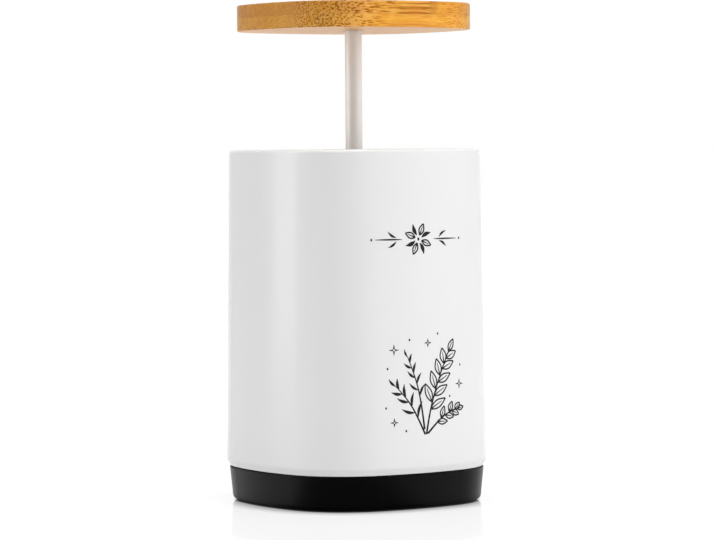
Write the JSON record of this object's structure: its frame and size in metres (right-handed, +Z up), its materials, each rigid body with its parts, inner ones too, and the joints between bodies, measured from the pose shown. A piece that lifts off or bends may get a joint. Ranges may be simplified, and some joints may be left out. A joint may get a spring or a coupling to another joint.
{
  "type": "toothpick dispenser",
  "caption": "Rounded-square toothpick dispenser with a bamboo lid on a central rod that lifts a tray of toothpicks out of a white plastic body on a black base.",
  "frame": {"origin": "on the table, under the middle of the base", "axes": "+Z up along the rod; the four rounded-square sides face +X, -X, +Y and -Y, and the printed side faces -Y"},
  "size_m": [0.0668, 0.0668, 0.1379],
  "materials": {
    "shell_plastic": "white, satin moulded",
    "liner_plastic": "white, satin moulded",
    "base_plastic": "black, satin moulded",
    "foot_rubber": "dark grey, matt",
    "screw_steel": "zinc plated",
    "tray_plastic": "white, satin moulded",
    "ring_silicone": "translucent white silicone",
    "rod_enamel": "white enamel, satin",
    "insert_brass": "turned",
    "lid_bamboo": "two-ply carbonised bamboo, satin varnish"
  },
  "bodies": {
    "body": {"outer_shell": "shell_plastic", "inner_cup": "liner_plastic", "mouth_collar": "liner_plastic", "base_cover": "base_plastic", "foot_pad_1": "foot_rubber", "foot_pad_2": "foot_rubber", "foot_pad_3": "foot_rubber", "foot_pad_4": "foot_rubber", "base_screws": "screw_steel"},
    "lift": {"lift_tray": "tray_plastic", "friction_ring": "ring_silicone", "lift_rod": "rod_enamel", "tray_washer": "screw_steel", "tray_screw": "screw_steel", "lid_insert": "insert_brass", "bamboo_lid": "lid_bamboo"}
  },
  "joints": [
    {"name": "lid_lift", "type": "slide", "parent": "body", "child": "lift", "axis": [0, 0, 1], "range_m": [-0.0358, 0]}
  ]
}
